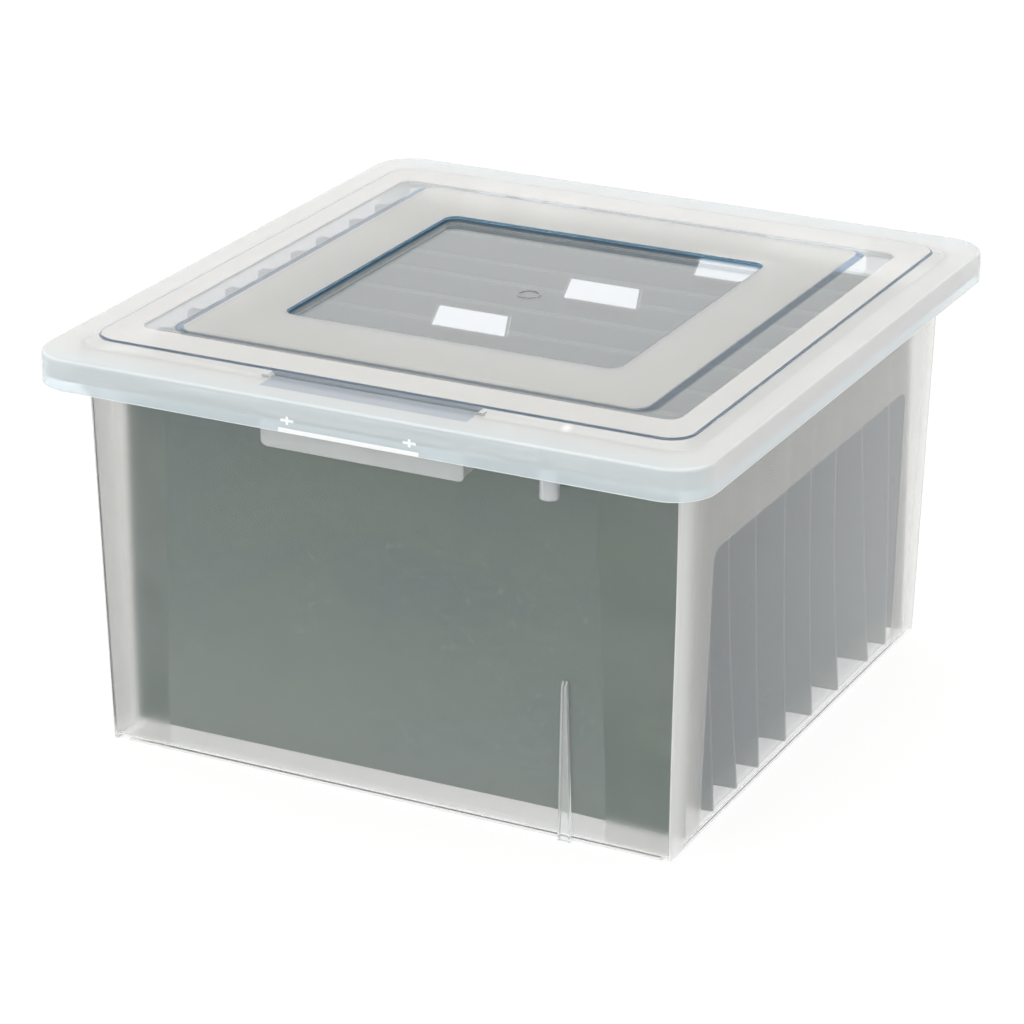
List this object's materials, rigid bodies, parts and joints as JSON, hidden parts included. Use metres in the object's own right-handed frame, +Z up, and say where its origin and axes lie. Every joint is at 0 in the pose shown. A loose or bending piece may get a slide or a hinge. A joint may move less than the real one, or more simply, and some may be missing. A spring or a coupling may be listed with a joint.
{
  "type": "portable file box",
  "caption": "Translucent box with a lift-off lid and moulded grips, holding legal-size hanging folders on two side rails.",
  "frame": {"origin": "centre of the base, on the surface that the box stands on", "axes": "+Z up, +X to the right of a person facing the front grip, front towards -Y"},
  "size_m": [0.44, 0.4686, 0.2687],
  "materials": {
    "frosted_plastic": "frosted translucent polypropylene with polished clear panels",
    "lid_plastic": "frosted translucent polypropylene with polished clear panels",
    "card": "matt green card",
    "rod_steel": "coated steel strip",
    "clear_film": "clear film",
    "label_paper": "plain white paper"
  },
  "bodies": {
    "box": {"box_body": "frosted_plastic"},
    "lid": {"lid": "lid_plastic"},
    "folder_1": {"folder_1_card": "card", "folder_1_front_rod": "rod_steel", "folder_1_back_rod": "rod_steel"},
    "folder_2": {"folder_2_card": "card", "folder_2_front_rod": "rod_steel", "folder_2_back_rod": "rod_steel"},
    "folder_3": {"folder_3_card": "card", "folder_3_front_rod": "rod_steel", "folder_3_back_rod": "rod_steel"},
    "folder_4": {"folder_4_card": "card", "folder_4_front_rod": "rod_steel", "folder_4_back_rod": "rod_steel"},
    "folder_5": {"folder_5_card": "card", "folder_5_front_rod": "rod_steel", "folder_5_back_rod": "rod_steel", "tab_1": "clear_film", "label_1": "label_paper"},
    "folder_6": {"folder_6_card": "card", "folder_6_front_rod": "rod_steel", "folder_6_back_rod": "rod_steel"},
    "folder_7": {"folder_7_card": "card", "folder_7_front_rod": "rod_steel", "folder_7_back_rod": "rod_steel", "tab_2": "clear_film", "label_2": "label_paper"},
    "folder_8": {"folder_8_card": "card", "folder_8_front_rod": "rod_steel", "folder_8_back_rod": "rod_steel"},
    "folder_9": {"folder_9_card": "card", "folder_9_front_rod": "rod_steel", "folder_9_back_rod": "rod_steel", "tab_3": "clear_film", "label_3": "label_paper"},
    "folder_10": {"folder_10_card": "card", "folder_10_front_rod": "rod_steel", "folder_10_back_rod": "rod_steel"}
  },
  "joints": [
    {"name": "lid_lift", "type": "slide", "parent": "box", "child": "lid", "axis": [0, 0, 1], "range_m": [0, 0.12]},
    {"name": "folder_1_slide", "type": "slide", "parent": "box", "child": "folder_1", "axis": [0, 1, 0], "range_m": [-0.012, 0.009]},
    {"name": "folder_2_slide", "type": "slide", "parent": "box", "child": "folder_2", "axis": [0, 1, 0], "range_m": [-0.009, 0.0105]},
    {"name": "folder_3_slide", "type": "slide", "parent": "box", "child": "folder_3", "axis": [0, 1, 0], "range_m": [-0.0105, 0.015]},
    {"name": "folder_4_slide", "type": "slide", "parent": "box", "child": "folder_4", "axis": [0, 1, 0], "range_m": [-0.015, 0.017]},
    {"name": "folder_5_slide", "type": "slide", "parent": "box", "child": "folder_5", "axis": [0, 1, 0], "range_m": [-0.017, 0.017]},
    {"name": "folder_6_slide", "type": "slide", "parent": "box", "child": "folder_6", "axis": [0, 1, 0], "range_m": [-0.017, 0.0155]},
    {"name": "folder_7_slide", "type": "slide", "parent": "box", "child": "folder_7", "axis": [0, 1, 0], "range_m": [-0.0155, 0.013]},
    {"name": "folder_8_slide", "type": "slide", "parent": "box", "child": "folder_8", "axis": [0, 1, 0], "range_m": [-0.013, 0.012]},
    {"name": "folder_9_slide", "type": "slide", "parent": "box", "child": "folder_9", "axis": [0, 1, 0], "range_m": [-0.012, 0.0125]},
    {"name": "folder_10_slide", "type": "slide", "parent": "box", "child": "folder_10", "axis": [0, 1, 0], "range_m": [-0.0125, 0.012]}
  ]
}
